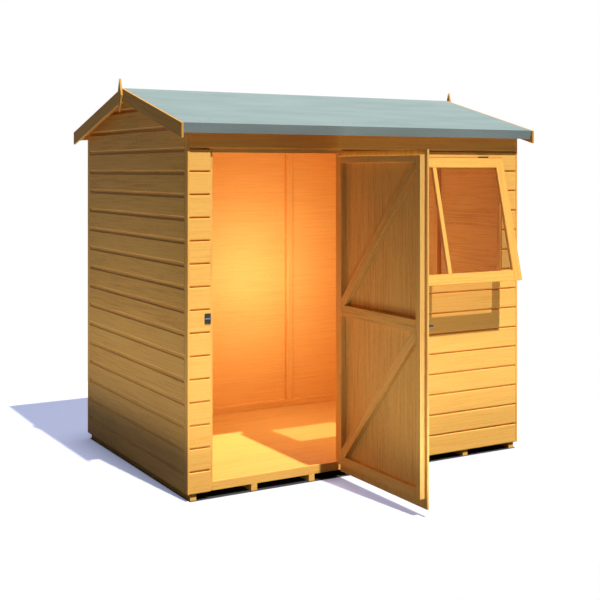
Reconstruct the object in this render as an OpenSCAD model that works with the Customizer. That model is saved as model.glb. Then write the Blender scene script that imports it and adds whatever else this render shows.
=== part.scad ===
// Wooden garden shed: boarded walls on a joisted floor, a felted double-slope roof,
// a boarded door on strap hinges and a top-hung window propped open.
// Millimetres. X runs along the ridge, -Y is the front, Z is up from the ground.

/* [Overall] */
// outside length of the walls, over the gable boards
shed_w = 2078; // [1900:1:2600]
// outside depth of the walls, front boards to back boards
shed_d = 1450; // [1200:1:1900]
// height of the front wall's top edge above the ground
eave_h = 1836; // [1810:1:2100]
// roof slope in degrees
roof_pitch = 15.1; // [10:0.1:25]

/* [Floor] */
// joists under the floor
joist_count = 7; // [3:2:9]
// joist width
joist_w = 34; // [28:1:60]
// joist height
joist_h = 35; // [28:1:60]
// outer joists in from the ends of the front boards
joist_in = 7; // [0:1:20]
// floor board thickness
floor_t = 18; // [11:1:25]

/* [Walls] */
// wall and door board thickness
board_t = 12; // [8:0.5:18]
// framing depth, from the boards inwards
batten_t = 28; // [22:1:45]
// framing face width
batten_w = 44; // [34:1:60]
// middle studs of the back wall, out from its middle
back_stud_out = 326; // [150:1:500]
// width of the strip on each corner
strip_w = 41; // [30:1:70]
// how far that strip stands out past the front and back boards
strip_past = 3; // [0:0.5:12]
// height of wall that each board covers
course_h = 112; // [90:1:150]
// height of wall that the lowest board covers
first_course_h = 110; // [60:1:150]
// depth of the scoop along each board's top edge
scoop_d = 6; // [2:0.5:8]
// height of that scoop
scoop_h = 17; // [8:1:30]

/* [Doorway] */
// wall board left of the doorway
doorway_left = 123; // [90:1:200]
// width of the doorway in the wall boards
doorway_w = 762; // [600:1:850]
// height of the wall boards over the doorway
over_door_h = 123; // [110:1:260]
// jamb shown beside the wall boards, which the door laps
jamb_show = 17; // [12:0.5:25]
// head rail shown under the wall boards
head_show = 23; // [15:0.5:30]
// threshold height
threshold_h = 44; // [30:1:60]

/* [Door] */
// gap between the door's boards and the wall boards
door_gap = 5; // [4:0.5:8]
// gap between the shut door and the jambs behind it
door_stand = 5; // [3:0.5:8]
// gap between the door's frame and the jambs
door_frame_gap = 7; // [5:0.5:10]
// gap over the door's boards
door_top_gap = 13; // [5:0.5:20]
// gap under the door's boards, above the wall boards' foot
door_foot = 3; // [0:0.5:15]
// door stile width
door_stile_w = 36; // [28:1:60]
// door top rail height
door_top_rail = 34; // [28:1:60]
// door middle rail height
door_mid_rail = 60; // [40:1:90]
// door bottom rail height
door_low_rail = 46; // [28:1:90]
// door brace width
door_brace_w = 46; // [30:1:70]
// upright boards across the door
door_board_count = 7; // [5:1:10]
// depth of the joint between two of them
door_joint_d = 2.5; // [1:0.5:5]
// how far the door stands open
door_open = 90; // [0:1:120]

/* [Hinges and latch] */
// hinge metal thickness
hinge_t = 4; // [2:0.5:6]
// hinge barrel radius
barrel_r = 7; // [5:0.5:10]
// hinge pin radius
pin_r = 3; // [2:0.25:4]
// running clearance round the pin
pin_clear = 0.1; // [0.05:0.01:0.3]
// one barrel knuckle's height
knuckle_h = 24; // [16:1:40]
// gap between knuckles
knuckle_gap = 0.4; // [0.2:0.1:1]
// lower hinge above the door's foot
hinge_up = 300; // [150:5:450]
// upper hinge below the door's top
hinge_down = 270; // [150:5:450]
// strap length along the door
strap_l = 300; // [150:5:400]
// strap height at the barrel
strap_h = 40; // [25:1:60]
// hinge plate width on the wall
plate_w = 38; // [25:1:45]
// latch height above the ground
latch_z = 880; // [700:10:1100]
// latch plate width
latch_w = 34; // [20:1:60]
// latch plate height
latch_h = 60; // [30:1:90]
// latch and keep plate thickness
latch_t = 3; // [2:0.5:5]
// latch plate in from the door's free edge
latch_in = 6; // [3:1:20]
// latch knob radius
knob_r = 7; // [5:0.5:12]
// latch knob length
knob_l = 18; // [10:1:30]
// keep plate width
keep_w = 32; // [20:1:50]
// keep plate height
keep_h = 50; // [30:1:80]
// keep bar radius
keep_bar_r = 4; // [3:0.5:6]

/* [Window] */
// wall board between the doorway and the window
window_gap = 84; // [80:1:150]
// wall end to the window's right side
window_side = 116; // [100:1:180]
// top of the sash below the boards over the doorway
sash_drop = 42; // [20:1:200]
// sash length, top to bottom
sash_l = 701; // [500:1:900]
// sash thickness
sash_t = 20; // [16:0.5:30]
// sash stile width
sash_stile_w = 56; // [30:1:70]
// sash top rail height
sash_top_rail = 55; // [30:1:80]
// sash bottom rail height
sash_low_rail = 58; // [30:1:80]
// middle bar width
sash_bar_w = 25; // [16:1:45]
// glass thickness
glass_t = 3; // [2:0.5:6]
// gap round the sash in the wall boards
sash_gap = 4; // [3:0.5:8]
// how far the sash laps the frame behind it
sash_lap = 2; // [1:0.5:30]
// how far the sash stands open
sash_open = 13.8; // [0:0.1:40]
// window hinge's middle in from the side of the sash
sash_hinge_in = 139; // [80:1:250]
// window hinge length
sash_hinge_l = 68; // [40:1:100]
// window hinge barrel radius
sash_barrel_r = 4.5; // [3:0.25:7]
// window hinge barrel off the wall and the sash
sash_barrel_gap = 0.5; // [0.2:0.1:0.9]

/* [Roof] */
// roof board thickness
deck_t = 11; // [8:0.5:18]
// gap left where sloping roof pieces meet
seat_gap = 0.2; // [0.1:0.1:0.8]
// roofing felt thickness
felt_t = 2; // [1:0.25:4]
// overhang at the eaves, to the felt's top edge
eave_over = 67; // [50:1:140]
// height of the felt turned down at the eaves, square to the slope
eave_drop = 50; // [35:1:80]
// overhang at the gables, to the bargeboards' back
verge_over = 51; // [20:1:90]
// fascia thickness
fascia_t = 12; // [8:0.5:20]
// bargeboard thickness
barge_t = 12; // [8:0.5:20]
// bargeboard height, measured upright
barge_h = 72; // [50:1:110]
// bargeboard end beyond the felt's top edge
barge_past = 6; // [2:0.5:15]
// ridge beam depth
ridge_h = 60; // [40:1:90]
// finial width
finial_w = 55; // [40:1:90]
// finial height
finial_h = 180; // [120:1:240]
// finial tip above the ridge
finial_up = 51; // [20:1:90]

/* [Hidden] */
$fn = 48;
half_w = shed_w / 2;
half_d = shed_d / 2;
slope = tan(roof_pitch);
fall = cos(roof_pitch);
foot_z = joist_h;
floor_z = joist_h + floor_t;
rail_z = floor_z + batten_w;
plate_z = eave_h - batten_w;
front_y = -half_d;
frame_y = half_d - board_t;
inner_y = frame_y - batten_t;
gable_y = half_d + strip_past - strip_w;
frame_x = half_w - board_t;
inner_x = frame_x - batten_t;
deck_edge_x = frame_x - board_t;
deck_edge_y = frame_y - board_t;

door_l = doorway_left - half_w;
door_r = door_l + doorway_w;
jamb_l = door_l + jamb_show;
jamb_r = door_r - jamb_show;
doorway_h = eave_h - over_door_h;
head_z = doorway_h - head_show;
threshold_z = foot_z + threshold_h;

leaf_l = door_l + door_gap;
leaf_r = door_r - door_gap;
leaf_low = foot_z + door_foot;
leaf_top = doorway_h - door_top_gap;
leaf_y = front_y - door_stand;
leaf_frame_y = leaf_y + board_t;
leaf_frame_l = jamb_l + door_frame_gap;
leaf_frame_r = jamb_r - door_gap;
leaf_frame_low = threshold_z + door_gap;
leaf_frame_top = head_z - 3 * door_gap;
leaf_mid_z = (leaf_frame_low + leaf_frame_top - door_mid_rail) / 2;
pin_x = door_r - door_gap / 2;
pin_y = leaf_y - hinge_t - barrel_r;
hinge_zs = [leaf_low + hinge_up, leaf_top - hinge_down];
barrel_h = 3 * knuckle_h + 2 * knuckle_gap;

cut_l = door_r + window_gap;
cut_r = half_w - window_side + sash_gap;
sash_x0 = cut_l + sash_gap;
sash_x1 = cut_r - sash_gap;
sash_top = doorway_h - sash_drop;
sash_low = sash_top - sash_l;
sash_mid = (sash_x0 + sash_x1) / 2;
cut_low = sash_low - sash_gap;
cut_top = sash_top + sash_gap;
light_l = sash_x0 + sash_lap;
light_r = sash_x1 - sash_lap;
light_low = sash_low + sash_lap;
light_top = sash_top - sash_lap;
sash_y = front_y + board_t - sash_t;
sash_pin_y = front_y - sash_barrel_r - sash_barrel_gap;
sash_pin_z = sash_top + sash_barrel_r + sash_barrel_gap;

roof_up = (deck_t + felt_t) / fall;
deck_up = deck_t / fall;
roof_x = half_w + verge_over;
edge_y = half_d + eave_over;
edge_z = eave_h - eave_over * slope + roof_up;
barge_y = edge_y + barge_past;
ridge_z = eave_h + half_d * slope;
purlin_y = half_d / 2;

// underside of the roof boards at a distance from the ridge
function under(y) = eave_h + (half_d - abs(y)) * slope;

// top of what carries the roof boards there
function seat(y) = under(y) - seat_gap;

// a point in from the front eave's top edge, up along the slope and down square to it
function at_eave(up, down) = [up * fall + down * sin(roof_pitch) - edge_y,
  edge_z + up * sin(roof_pitch) - down * fall];

// the same points at the back, in turn
function at_back(points) = [for (i = [len(points) - 1 : -1 : 0]) [-points[i][0], points[i][1]]];

// a box between two corners
module span(low, high) {
  translate(low) cube(high - low);
}

// an outline in the YZ plane, drawn along X
module along_x(x0, x1, points) {
  translate([x0, 0, 0]) rotate([90, 0, 90]) linear_extrude(x1 - x0) polygon(points);
}

// the same piece again at the other end of the shed
module both_ends() {
  children();
  mirror([1, 0, 0]) children();
}

// the same piece again at the back of the shed
module both_sides() {
  children();
  mirror([0, 1, 0]) children();
}

// an upright stud of the front wall, or of the back wall when turned
module front_stud(x0) {
  span([x0, front_y + board_t, rail_z], [x0 + batten_w, front_y + board_t + batten_t, plate_z]);
}

// a level rail of the front wall
module front_rail(x0, x1, z0) {
  span([x0, front_y + board_t, z0], [x1, front_y + board_t + batten_t, z0 + batten_w]);
}

// shiplap boards from z0 up to z1, their face on Y = 0 and their length along X;
// each board's top edge is scooped, and the next board's foot stands out over the scoop
module shiplap(length, z0, z1) {
  first = foot_z + first_course_h;
  lines = [for (z = [first : course_h : z1 + 0.01]) if (z - scoop_h > z0) z];
  steps = 5;
  scoops = [for (z = lines) for (i = [0 : steps + 1])
    i <= steps ? [scoop_d * sin(90 * i / steps), z - scoop_h * cos(90 * i / steps)] : [0, z]];
  topped = len(lines) > 0 && lines[len(lines) - 1] > z1 - 0.01;
  face = topped ? [for (i = [0 : len(scoops) - 2]) scoops[i]] : concat(scoops, [[0, z1]]);
  along_x(0, length, concat([[board_t, z1], [board_t, z0], [0, z0]], face));
}

// a panel of front wall boards
module front_panel(x0, x1, z0, z1) {
  translate([x0, front_y, 0]) shiplap(x1 - x0, z0, z1);
}

// the door is drawn shut and then swung to where it stands
module swung() {
  translate([pin_x, pin_y, 0]) rotate([0, 0, door_open]) translate([-pin_x, -pin_y, 0]) children();
}

// the sash is drawn shut and then swung out from its top edge
module propped() {
  translate([0, sash_pin_y, sash_pin_z]) rotate([-sash_open, 0, 0])
    translate([0, -sash_pin_y, -sash_pin_z]) children();
}

module floor_joists() {
  pitch = (2 * (frame_x - joist_in) - joist_w) / (joist_count - 1);
  color("#D9A860") for (i = [0 : joist_count - 1]) {
    x = (i - (joist_count - 1) / 2) * pitch;
    span([x - joist_w / 2, -frame_y, 0], [x + joist_w / 2, frame_y, joist_h]);
  }
}

module floor_deck() {
  color("#EBC06A") span([-deck_edge_x, -deck_edge_y, joist_h], [deck_edge_x, deck_edge_y, floor_z]);
}

module door_threshold() {
  color("#E6B060") span([jamb_l, -frame_y, foot_z], [jamb_r, -deck_edge_y, threshold_z]);
}

module front_cladding_left() {
  color("#F2B860") front_panel(-frame_x, door_l, foot_z, doorway_h);
}

module front_cladding_head() {
  color("#F2B860") front_panel(-frame_x, frame_x, doorway_h, seat(half_d));
}

module front_cladding_middle() {
  color("#F2B860") front_panel(door_r, cut_l, foot_z, doorway_h);
}

module front_cladding_under_window() {
  color("#F2B860") front_panel(cut_l, cut_r, foot_z, cut_low);
}

module front_cladding_over_window() {
  color("#F2B860") front_panel(cut_l, cut_r, cut_top, doorway_h);
}

module front_cladding_right() {
  color("#F2B860") front_panel(cut_r, frame_x, foot_z, doorway_h);
}

module front_studs() {
  color("#E0AC62") {
    front_stud(-frame_x);
    front_stud(jamb_l - batten_w);
    front_stud(jamb_r);
    front_stud(light_l - batten_w);
    front_stud(light_r);
    front_stud(frame_x - batten_w);
  }
}

module front_rails() {
  color("#E0AC62") {
    front_rail(-frame_x, jamb_l, floor_z);
    front_rail(jamb_r, frame_x, floor_z);
    front_rail(-frame_x, frame_x, plate_z);
    front_rail(jamb_l, jamb_r, head_z);
    front_rail(light_l, light_r, light_top);
    front_rail(light_l, light_r, light_low - batten_w);
  }
}

module back_cladding() {
  color("#F2B860") mirror([0, 1, 0]) front_panel(-frame_x, frame_x, foot_z, seat(half_d));
}

module back_studs() {
  color("#E0AC62") mirror([0, 1, 0]) {
    both_ends() front_stud(-frame_x);
    both_ends() front_stud(back_stud_out - batten_w / 2);
  }
}

module back_rails() {
  color("#E0AC62") mirror([0, 1, 0]) {
    front_rail(-frame_x, frame_x, floor_z);
    front_rail(-frame_x, frame_x, plate_z);
  }
}

// gable boards between the corner strips, cut to the roof's slope
module gable_boards() {
  intersection() {
    translate([-half_w, gable_y, 0]) rotate([0, 0, -90]) shiplap(2 * gable_y, foot_z, ridge_z);
    along_x(-half_w, -frame_x, [[-gable_y, foot_z], [gable_y, foot_z], [gable_y, seat(gable_y)],
      [0, seat(0)], [-gable_y, seat(gable_y)]]);
  }
}

// gable studs: one at each end and one under the ridge beam
module gable_studs(x0) {
  drop = batten_w / fall + seat_gap;
  both_sides() along_x(x0, x0 + batten_t, [[-inner_y, rail_z], [batten_w - inner_y, rail_z],
    [batten_w - inner_y, seat(inner_y - batten_w) - drop], [-inner_y, seat(inner_y) - drop]]);
  span([x0, -batten_w / 2, rail_z], [x0 + batten_t, batten_w / 2, ridge_z - ridge_h]);
}

// gable rails: one on the floor and one up each slope
module gable_rails(x0) {
  drop = batten_w / fall;
  half_beam = batten_t / 2;
  span([x0, -inner_y, floor_z], [x0 + batten_t, inner_y, rail_z]);
  both_sides() along_x(x0, x0 + batten_t, [[-inner_y, seat(inner_y) - drop],
    [-half_beam, seat(half_beam) - drop], [-half_beam, seat(half_beam)], [-inner_y, seat(inner_y)]]);
}

module left_cladding() {
  color("#E8B05C") gable_boards();
}

module left_studs() {
  color("#E0AC62") gable_studs(-frame_x);
}

module left_rails() {
  color("#E0AC62") gable_rails(-frame_x);
}

module right_cladding() {
  color("#E8B05C") mirror([1, 0, 0]) gable_boards();
}

module right_studs() {
  color("#E0AC62") mirror([1, 0, 0]) gable_studs(-frame_x);
}

module right_rails() {
  color("#E0AC62") mirror([1, 0, 0]) gable_rails(-frame_x);
}

// strips flush with the gable boards, over the ends of the front and back boards
module corner_strips() {
  out_y = half_d + strip_past;
  color("#E8B05C") both_ends() both_sides() along_x(-half_w, -frame_x, [[-out_y, foot_z],
    [-gable_y, foot_z], [-gable_y, seat(gable_y)], [-out_y, seat(out_y)]]);
}

module ridge_beam() {
  half_beam = batten_t / 2;
  low = ridge_z - ridge_h;
  color("#E0AC62") along_x(-frame_x, frame_x, [[-half_beam, low], [half_beam, low],
    [half_beam, seat(half_beam)], [0, seat(0)], [-half_beam, seat(half_beam)]]);
}

module purlins() {
  drop = batten_w / fall;
  out_y = purlin_y + batten_t / 2;
  in_y = purlin_y - batten_t / 2;
  color("#E0AC62") both_sides() along_x(-inner_x, inner_x, [[-out_y, seat(out_y) - drop],
    [-in_y, seat(in_y) - drop], [-in_y, seat(in_y)], [-out_y, seat(out_y)]]);
}

module roof_boards() {
  along_x(-roof_x, roof_x, [at_eave(felt_t, felt_t + deck_t), [0, ridge_z], [0, ridge_z + deck_up],
    at_eave(felt_t, felt_t)]);
}

module front_roof_deck() {
  color("#D8A35A") roof_boards();
}

module back_roof_deck() {
  color("#D8A35A") mirror([0, 1, 0]) roof_boards();
}

// one sheet over both slopes, turned down square over the fascias
module roof_felt() {
  front = [[0, ridge_z + roof_up], at_eave(0, 0), at_eave(0, eave_drop), at_eave(felt_t, eave_drop),
    at_eave(felt_t, felt_t), [0, ridge_z + deck_up]];
  back = [for (i = [1 : 4]) front[i]];
  color("#B3C8C7") along_x(-roof_x, roof_x, concat(front, at_back(back)));
}

module eave_fascias() {
  top = felt_t + deck_t + seat_gap;
  out_up = felt_t + seat_gap;
  in_up = out_up + fascia_t;
  color("#D8A35A") both_sides() along_x(-roof_x, roof_x, [at_eave(out_up, top), at_eave(out_up, eave_drop),
    at_eave(in_up, eave_drop), at_eave(in_up, top)]);
}

// a bargeboard with plumb cuts at the ridge and at the eave
module bargeboard() {
  both_ends() along_x(roof_x, roof_x + barge_t, [[0, ridge_z + roof_up - barge_h],
    [0, ridge_z + roof_up], [-barge_y, under(barge_y) + roof_up],
    [-barge_y, under(barge_y) + roof_up - barge_h]]);
}

module front_bargeboards() {
  color("#D9A452") bargeboard();
}

module back_bargeboards() {
  color("#D9A452") mirror([0, 1, 0]) bargeboard();
}

module finials() {
  tip = ridge_z + roof_up + finial_up;
  color("#E2AE5C") both_ends() along_x(roof_x + barge_t, roof_x + 2 * barge_t, [[0, tip],
    [-finial_w / 2, tip - finial_h / 2], [0, tip - finial_h], [finial_w / 2, tip - finial_h / 2]]);
}

module sash_stiles() {
  light_z = [sash_low + sash_low_rail, sash_top - sash_top_rail];
  color("#F0B65C") propped() {
    span([sash_x0, sash_y, sash_low], [sash_x0 + sash_stile_w, sash_y + sash_t, sash_top]);
    span([sash_x1 - sash_stile_w, sash_y, sash_low], [sash_x1, sash_y + sash_t, sash_top]);
    span([sash_mid - sash_bar_w / 2, sash_y, light_z[0]],
      [sash_mid + sash_bar_w / 2, sash_y + sash_t, light_z[1]]);
  }
}

module sash_rails() {
  x0 = sash_x0 + sash_stile_w;
  x1 = sash_x1 - sash_stile_w;
  color("#F0B65C") propped() {
    span([x0, sash_y, sash_low], [x1, sash_y + sash_t, sash_low + sash_low_rail]);
    span([x0, sash_y, sash_top - sash_top_rail], [x1, sash_y + sash_t, sash_top]);
  }
}

module sash_glass() {
  x0 = sash_x0 + sash_stile_w;
  x1 = sash_x1 - sash_stile_w;
  y0 = sash_y + (sash_t - glass_t) / 2;
  z0 = sash_low + sash_low_rail;
  z1 = sash_top - sash_top_rail;
  color("#D8E4E0", 0.35) propped() {
    span([x0, y0, z0], [sash_mid - sash_bar_w / 2, y0 + glass_t, z1]);
    span([sash_mid + sash_bar_w / 2, y0, z0], [x1, y0 + glass_t, z1]);
  }
}

module window_hinges() {
  color("#2A2A2A") for (x = [sash_x0 + sash_hinge_in, sash_x1 - sash_hinge_in]) {
    translate([x - sash_hinge_l / 2, sash_pin_y, sash_pin_z]) rotate([0, 90, 0])
      cylinder(h = sash_hinge_l, r = sash_barrel_r);
  }
}

// a wall plate with two knuckles and the pin between them
module hinge_plate(z) {
  low = z - barrel_h / 2;
  span([pin_x + barrel_r, front_y - hinge_t, low], [pin_x + barrel_r + plate_w, front_y, low + barrel_h]);
  for (step = [0, 2]) {
    base = low + step * (knuckle_h + knuckle_gap);
    translate([pin_x, pin_y, base]) cylinder(h = knuckle_h, r = barrel_r);
    span([pin_x, pin_y, base], [pin_x + barrel_r + hinge_t, front_y, base + knuckle_h]);
  }
  translate([pin_x, pin_y, low]) cylinder(h = barrel_h, r = pin_r);
}

module hinge_plates() {
  color("#1F1F1F") for (z = hinge_zs) hinge_plate(z);
}

// a tapered strap on the door's face, with an eye round the pin
module hinge_strap(z) {
  eye_low = z - knuckle_h / 2;
  difference() {
    union() {
      translate([pin_x, pin_y, eye_low]) cylinder(h = knuckle_h, r = barrel_r);
      span([pin_x - barrel_r, pin_y, eye_low], [pin_x, leaf_y - hinge_t / 2, eye_low + knuckle_h]);
      translate([0, leaf_y, z]) rotate([90, 0, 0]) linear_extrude(hinge_t)
        polygon([[pin_x - barrel_r / 2, -knuckle_h / 2], [pin_x - barrel_r / 2, knuckle_h / 2],
          [pin_x - 2 * barrel_r, strap_h / 2], [pin_x - strap_l, strap_h / 5],
          [pin_x - strap_l - strap_h / 5, 0], [pin_x - strap_l, -strap_h / 5],
          [pin_x - 2 * barrel_r, -strap_h / 2]]);
    }
    translate([pin_x, pin_y, eye_low - 1]) cylinder(h = knuckle_h + 2, r = pin_r + pin_clear);
  }
}

module hinge_straps() {
  color("#1F1F1F") swung() for (z = hinge_zs) hinge_strap(z);
}

module latch_keep() {
  x0 = door_l - keep_w;
  color("#1F1F1F") {
    span([x0, front_y - latch_t, latch_z - keep_h / 2], [door_l, front_y, latch_z + keep_h / 2]);
    translate([x0, front_y - latch_t - keep_bar_r / 2, latch_z]) rotate([0, 90, 0])
      cylinder(h = keep_w, r = keep_bar_r);
  }
}

module door_latch() {
  color("#1F1F1F") swung() {
    span([leaf_l + latch_in, leaf_y - latch_t, latch_z - latch_h / 2],
      [leaf_l + latch_in + latch_w, leaf_y, latch_z + latch_h / 2]);
    translate([leaf_l + latch_in + latch_w / 2, leaf_y - latch_t, latch_z]) rotate([90, 0, 0])
      cylinder(h = knob_l, r = knob_r);
  }
}

// upright boards with a chamfered joint between them on the outer face
module door_boards() {
  pitch = (leaf_r - leaf_l) / door_board_count;
  joints = [for (i = [1 : door_board_count - 1]) for (j = [-1 : 1])
    [leaf_l + i * pitch + j * door_joint_d, leaf_y + (j == 0 ? door_joint_d : 0)]];
  color("#E2A855") swung() translate([0, 0, leaf_low]) linear_extrude(leaf_top - leaf_low)
    polygon(concat([[leaf_l, leaf_y]], joints, [[leaf_r, leaf_y], [leaf_r, leaf_y + board_t],
      [leaf_l, leaf_y + board_t]]));
}

module door_stiles() {
  y1 = leaf_frame_y + batten_t;
  color("#D39A4C") swung() {
    span([leaf_frame_l, leaf_frame_y, leaf_frame_low], [leaf_frame_l + door_stile_w, y1, leaf_frame_top]);
    span([leaf_frame_r - door_stile_w, leaf_frame_y, leaf_frame_low], [leaf_frame_r, y1, leaf_frame_top]);
  }
}

// a rail of the door between its stiles
module door_rail(z0, height) {
  span([leaf_frame_l + door_stile_w, leaf_frame_y, z0],
    [leaf_frame_r - door_stile_w, leaf_frame_y + batten_t, z0 + height]);
}

module door_rails() {
  color("#D39A4C") swung() {
    door_rail(leaf_frame_low, door_low_rail);
    door_rail(leaf_mid_z, door_mid_rail);
    door_rail(leaf_frame_top - door_top_rail, door_top_rail);
  }
}

// a brace that rises from the hinge side to the free side, cut to its panel
module door_brace(z0, z1) {
  x0 = leaf_frame_l + door_stile_w;
  x1 = leaf_frame_r - door_stile_w;
  run = x1 - x0;
  rise = z1 - z0;
  long = sqrt(run * run + rise * rise);
  translate([0, leaf_frame_y + batten_t, 0]) rotate([90, 0, 0]) linear_extrude(batten_t) intersection() {
    translate([x0, z0]) square([run, rise]);
    translate([(x0 + x1) / 2, (z0 + z1) / 2]) rotate(-atan2(rise, run))
      square([2 * long, door_brace_w], center = true);
  }
}

module door_braces() {
  color("#D39A4C") swung() {
    door_brace(leaf_frame_low + door_low_rail, leaf_mid_z);
    door_brace(leaf_mid_z + door_mid_rail, leaf_frame_top - door_top_rail);
  }
}

floor_joists();
floor_deck();
door_threshold();
front_cladding_left();
front_cladding_head();
front_cladding_middle();
front_cladding_under_window();
front_cladding_over_window();
front_cladding_right();
front_studs();
front_rails();
back_cladding();
back_studs();
back_rails();
left_cladding();
left_studs();
left_rails();
right_cladding();
right_studs();
right_rails();
corner_strips();
ridge_beam();
purlins();
front_roof_deck();
back_roof_deck();
roof_felt();
eave_fascias();
front_bargeboards();
back_bargeboards();
finials();
sash_stiles();
sash_rails();
sash_glass();
window_hinges();
hinge_plates();
latch_keep();
door_boards();
door_stiles();
door_rails();
door_braces();
hinge_straps();
door_latch();
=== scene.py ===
import math
import random
import bmesh
import bpy
import numpy as np
from mathutils import Matrix, Vector


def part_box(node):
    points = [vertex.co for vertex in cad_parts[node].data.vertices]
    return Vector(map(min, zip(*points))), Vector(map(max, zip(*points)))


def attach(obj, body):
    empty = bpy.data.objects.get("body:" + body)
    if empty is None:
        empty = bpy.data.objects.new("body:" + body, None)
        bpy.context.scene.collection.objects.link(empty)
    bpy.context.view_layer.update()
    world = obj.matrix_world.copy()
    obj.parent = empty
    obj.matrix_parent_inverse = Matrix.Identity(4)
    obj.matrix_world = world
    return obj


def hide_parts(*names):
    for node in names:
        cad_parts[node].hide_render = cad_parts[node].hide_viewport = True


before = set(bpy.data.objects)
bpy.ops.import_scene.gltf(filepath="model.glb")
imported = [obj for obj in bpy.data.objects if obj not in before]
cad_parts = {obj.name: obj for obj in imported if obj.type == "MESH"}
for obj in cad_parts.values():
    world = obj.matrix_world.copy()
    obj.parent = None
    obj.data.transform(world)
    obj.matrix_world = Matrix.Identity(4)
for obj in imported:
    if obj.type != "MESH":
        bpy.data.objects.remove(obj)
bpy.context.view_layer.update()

# Floor joists: seven sawn softwood bearers, laid front to back on the ground under the floor.
# Each is a copy of its solid with the arrises eased, and carries its own run of grain.
chance = random.Random(11)
frame_arris = 0.0015
weld_gap = 0.00002
flat_angle = math.radians(0.5)
soft_angle = math.radians(40)
nearly_upright = 0.9


def linear(code):
    """An sRGB hex value as linear red, green, blue and a full alpha."""
    parts = [int(code[i:i + 2], 16) / 255 for i in (1, 3, 5)]
    return [c / 12.92 if c <= 0.04045 else ((c + 0.055) / 1.055) ** 2.4 for c in parts] + [1.0]


def put(tree, kind, inputs, **settings):
    """Add a node, give its properties their values, and set or link its inputs."""
    node = tree.nodes.new(kind)
    for name, value in settings.items():
        setattr(node, name, value)
    for socket, value in inputs.items():
        if isinstance(value, bpy.types.NodeSocket):
            tree.links.new(value, node.inputs[socket])
        else:
            node.inputs[socket].default_value = value
    return node


def bare_material(name):
    """A new material whose node tree is still empty."""
    material = bpy.data.materials.new(name)
    material.use_nodes = True
    material.node_tree.nodes.clear()
    return material


def softwood(name, pale, warm, deep, roughness):
    """Planed softwood in a honey-coloured dip: long straight streaks of early and late wood on a satin face.

    Faint growth rings 9 mm apart, finer flecks and a tone for each board are mixed with the streaks.
    The streaks are drawn 8 mm wide and the flecks 5 mm, coarser than real ones, so that they show.
    """
    sways_per_metre = (1.1, 6, 6)
    sway_reach = (0.0, 0.007, 0.007)
    streaks_per_metre = (3.5, 130, 130)
    flecks_per_metre = (40, 210, 210)
    ring_scale = 34.0
    ring_share = 0.1
    fleck_share = 0.3
    tone_share = 0.08
    pale_at = 0.34
    warm_at = 0.51
    deep_at = 0.70
    wood = bare_material(name)
    tree = wood.node_tree
    grain = put(tree, "ShaderNodeAttribute", {}, attribute_name="grain").outputs["Vector"]
    tone = put(tree, "ShaderNodeAttribute", {}, attribute_name="tone").outputs["Fac"]
    sway = put(tree, "ShaderNodeMapping", {"Vector": grain, "Scale": sways_per_metre})
    sway = put(tree, "ShaderNodeTexNoise", {"Vector": sway.outputs[0], "Scale": 1.0, "Detail": 2.0})
    lean = put(tree, "ShaderNodeVectorMath", {0: sway.outputs["Color"], 1: sway_reach},
               operation="MULTIPLY")
    bent = put(tree, "ShaderNodeVectorMath", {0: grain, 1: lean.outputs[0]}, operation="ADD").outputs[0]
    rings = put(tree, "ShaderNodeTexWave", {"Vector": bent, "Scale": ring_scale, "Distortion": 0.0},
                wave_type="RINGS", rings_direction="X", wave_profile="SAW")
    streak = put(tree, "ShaderNodeMapping", {"Vector": bent, "Scale": streaks_per_metre})
    streak = put(tree, "ShaderNodeTexNoise", {"Vector": streak.outputs[0], "Scale": 1.0, "Detail": 3.0})
    fleck = put(tree, "ShaderNodeMapping", {"Vector": bent, "Scale": flecks_per_metre})
    fleck = put(tree, "ShaderNodeTexNoise", {"Vector": fleck.outputs[0], "Scale": 1.0, "Detail": 2.0})
    figure = put(tree, "ShaderNodeMix", {0: ring_share, 2: streak.outputs["Fac"], 3: rings.outputs["Fac"]})
    figure = put(tree, "ShaderNodeMix", {0: fleck_share, 2: figure.outputs[0], 3: fleck.outputs["Fac"]})
    figure = put(tree, "ShaderNodeMix", {0: tone_share, 2: figure.outputs[0], 3: tone})
    ramp = put(tree, "ShaderNodeValToRGB", {"Fac": figure.outputs[0]})
    ramp.color_ramp.elements[0].position = pale_at
    ramp.color_ramp.elements[0].color = linear(pale)
    ramp.color_ramp.elements[1].position = deep_at
    ramp.color_ramp.elements[1].color = linear(deep)
    ramp.color_ramp.elements.new(warm_at).color = linear(warm)
    bump = put(tree, "ShaderNodeBump", {"Height": figure.outputs[0], "Strength": 0.3, "Distance": 0.0006})
    shader = put(tree, "ShaderNodeBsdfPrincipled", {
        "Base Color": ramp.outputs["Color"], "Roughness": roughness, "Specular IOR Level": 0.12,
        "Normal": bump.outputs[0]})
    put(tree, "ShaderNodeOutputMaterial", {"Surface": shader.outputs[0]})
    return wood


def lay_grain(timber, along=None):
    """Give one timber its grain: coordinates that run along it, cut from the log at a place of its own."""
    count = len(timber.data.vertices)
    points = np.empty(count * 3)
    timber.data.vertices.foreach_get("co", points)
    points = points.reshape(count, 3)
    middle = (points.max(axis=0) + points.min(axis=0)) / 2
    if along is None:
        along = np.linalg.svd(points - points.mean(axis=0), full_matrices=False)[2][0]
    along = Vector(along).normalized()
    across = along.cross((0, 0, 1) if abs(along.z) < nearly_upright else (0, 1, 0)).normalized()
    axes = np.array([along, across, along.cross(across)])
    up_the_log = chance.uniform(0, 40)
    beside_heart = chance.uniform(-0.09, 0.09)
    from_heart = chance.uniform(0.05, 0.16)
    run = (points - middle) @ axes.T + np.array((up_the_log, beside_heart, from_heart))
    grain = timber.data.attributes.new("grain", "FLOAT_VECTOR", "POINT")
    grain.data.foreach_set("vector", run.ravel())
    tone = timber.data.attributes.new("tone", "FLOAT", "POINT")
    tone.data.foreach_set("value", [chance.random()] * count)


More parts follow.
